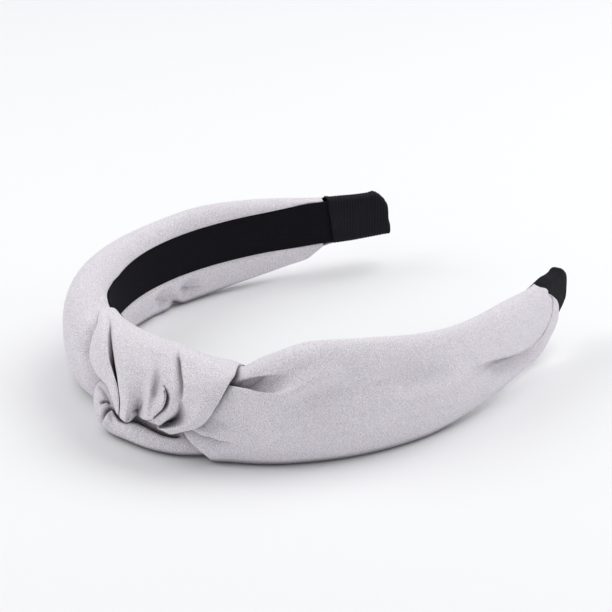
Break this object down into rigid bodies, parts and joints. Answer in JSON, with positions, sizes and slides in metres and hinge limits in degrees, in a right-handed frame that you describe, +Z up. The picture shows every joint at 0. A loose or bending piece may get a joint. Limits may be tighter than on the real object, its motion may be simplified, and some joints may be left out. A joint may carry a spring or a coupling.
{
  "type": "knotted headband",
  "caption": "U-shaped sprung headband in a full soft cloth sleeve with a gathered knot at the crown, a flat inner lining ribbon and ribbed ribbon tips; worn over the head.",
  "frame": {"origin": "middle of the bounding box on the table the band lies on", "axes": "+Y from the knot at the crown to the open tips, +X to the arm on the right when facing the knot, +Z up from the table"},
  "size_m": [0.1422, 0.1664, 0.0403],
  "materials": {
    "core_hoop": "smooth moulded, hidden inside the cloth",
    "lining_ribbon": "matte woven ribbon",
    "tip_ribbon_left": "cross-ribbed grosgrain ribbon",
    "tip_ribbon_right": "cross-ribbed grosgrain ribbon",
    "sleeve_left": "matte crepe weave",
    "sleeve_right": "matte crepe weave",
    "knot_wrap": "matte crepe weave",
    "knot_roll": "matte crepe weave"
  },
  "bodies": {
    "root": {"core_hoop": "core_hoop", "lining_ribbon": "lining_ribbon", "tip_ribbon_left": "tip_ribbon_left", "tip_ribbon_right": "tip_ribbon_right", "sleeve_left": "sleeve_left", "sleeve_right": "sleeve_right", "knot_wrap": "knot_wrap", "knot_roll": "knot_roll"}
  },
  "joints": []
}
